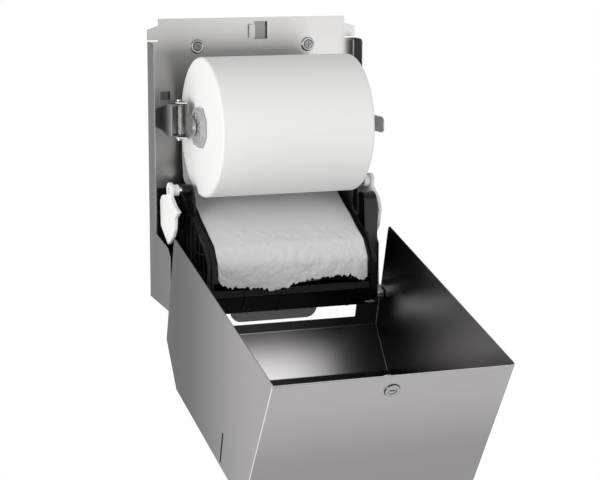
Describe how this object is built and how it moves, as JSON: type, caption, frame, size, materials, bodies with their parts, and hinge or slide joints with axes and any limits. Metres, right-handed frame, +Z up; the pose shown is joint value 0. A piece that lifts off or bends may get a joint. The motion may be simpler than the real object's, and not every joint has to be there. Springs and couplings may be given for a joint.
{
  "type": "lever paper towel dispenser",
  "caption": "Wall-mounted steel dispenser for roll paper towels, its lockable door swung down over a sprung roll arm, a geared feed module and a push lever.",
  "frame": {"origin": "centre of the rectangle of the four wall screws, on the back face of the back plate, 4 mm in front of the wall", "axes": "+X to the user's right, +Y into the wall, +Z up; the part faces -Y"},
  "size_m": [0.2948, 0.5202, 0.5422],
  "materials": {
    "satin_steel": "satin brushed stainless steel sheet",
    "bright_steel": "zinc-plated or plain bright steel",
    "lock_steel": "nickel-plated lock plug",
    "black_plastic": "moulded black plastic with a low sheen",
    "gear_plastic": "natural acetal",
    "white_plastic": "moulded white plastic",
    "grey_clear_plastic": "smoky grey translucent plastic",
    "roller_rubber": "soft rubber",
    "paper": "white crepe paper",
    "board": "wound grey-brown board"
  },
  "bodies": {
    "cabinet": {"cabinet": "satin_steel", "cup_washers": "bright_steel", "wall_screws": "bright_steel", "left_bracket": "bright_steel", "arm_pin": "bright_steel", "arm_spring": "bright_steel", "right_arm": "bright_steel", "arm_rivets": "bright_steel", "left_frame": "black_plastic", "right_frame": "black_plastic", "module_cover": "black_plastic", "rear_beam": "black_plastic", "module_screws": "bright_steel", "front_bar": "black_plastic", "tear_blade": "bright_steel", "blade_rivets": "bright_steel", "feed_bushes": "gear_plastic", "gear_cover": "black_plastic", "latch_pins": "bright_steel", "hinge_pins": "bright_steel", "hinge_brackets": "bright_steel", "towel_tail": "paper", "lever_spring": "bright_steel"},
    "door": {"door": "satin_steel", "lock_body": "bright_steel", "lock_nut": "bright_steel"},
    "lock": {"lock_plug": "lock_steel", "lock_cam": "bright_steel", "cam_screw": "bright_steel"},
    "roll_arm": {"left_arm": "bright_steel"},
    "arm_hub": {"left_hub": "grey_clear_plastic"},
    "roll": {"paper_roll": "paper", "roll_core": "board", "right_hub": "grey_clear_plastic"},
    "feed_roller": {"feed_shaft": "bright_steel", "feed_sleeves": "roller_rubber", "drive_pinion": "gear_plastic"},
    "pinch_roller": {"pinch_shaft": "bright_steel", "pinch_sleeves": "roller_rubber"},
    "lever": {"lever_shaft": "bright_steel", "lever_yoke": "black_plastic", "push_paddle": "grey_clear_plastic", "sector_gear": "gear_plastic"},
    "left_latch": {"left_latch": "white_plastic"},
    "right_latch": {"right_latch": "white_plastic"}
  },
  "joints": [
    {"name": "door_swing", "type": "hinge", "parent": "cabinet", "child": "door", "pos_m": [0, -0.103, -0.203], "axis": [1, 0, 0], "range_deg": [-105.9, 0]},
    {"name": "lock_turn", "type": "hinge", "parent": "door", "child": "lock", "pos_m": [0, -0.47668, -0.23146], "axis": [0, -0.8502, -0.5264], "range_deg": [0, 90]},
    {"name": "roll_arm_swing", "type": "hinge", "parent": "cabinet", "child": "roll_arm", "pos_m": [-0.1205, -0.06, 0.0375], "axis": [0, 0, 1], "range_deg": [-25, 0], "stiffness_Nm_per_rad": 0.25, "springref_deg": 20.05},
    {"name": "arm_hub_spin", "type": "hinge", "parent": "roll_arm", "child": "arm_hub", "pos_m": [-0.1085, -0.1, 0.031], "axis": [1, 0, 0], "continuous": true},
    {"name": "roll_spin", "type": "hinge", "parent": "cabinet", "child": "roll", "pos_m": [0, -0.1, 0.031], "axis": [1, 0, 0], "continuous": true},
    {"name": "lever_push", "type": "hinge", "parent": "cabinet", "child": "lever", "pos_m": [0, -0.095, -0.165], "axis": [1, 0, 0], "range_deg": [0, 25], "stiffness_Nm_per_rad": 0.6, "springref_deg": -14.32},
    {"name": "feed_spin", "type": "hinge", "parent": "cabinet", "child": "feed_roller", "pos_m": [0, -0.1375, -0.1825], "axis": [1, 0, 0], "range_deg": [-114, 0]},
    {"name": "pinch_spin", "type": "hinge", "parent": "cabinet", "child": "pinch_roller", "pos_m": [0, -0.12583, -0.17083], "axis": [1, 0, 0], "range_deg": [0, 190]},
    {"name": "left_latch_turn", "type": "hinge", "parent": "cabinet", "child": "left_latch", "pos_m": [-0.1385, -0.076, -0.051], "axis": [1, 0, 0], "range_deg": [-12, 0]},
    {"name": "right_latch_turn", "type": "hinge", "parent": "cabinet", "child": "right_latch", "pos_m": [0.1385, -0.076, -0.051], "axis": [1, 0, 0], "range_deg": [-12, 0]}
  ],
  "couplings": [
    {"joint": "feed_spin", "follows": "lever_push", "ratio": -4.5556},
    {"joint": "pinch_spin", "follows": "lever_push", "ratio": 7.5926},
    {"joint": "arm_hub_spin", "follows": "roll_spin", "ratio": 1}
  ]
}
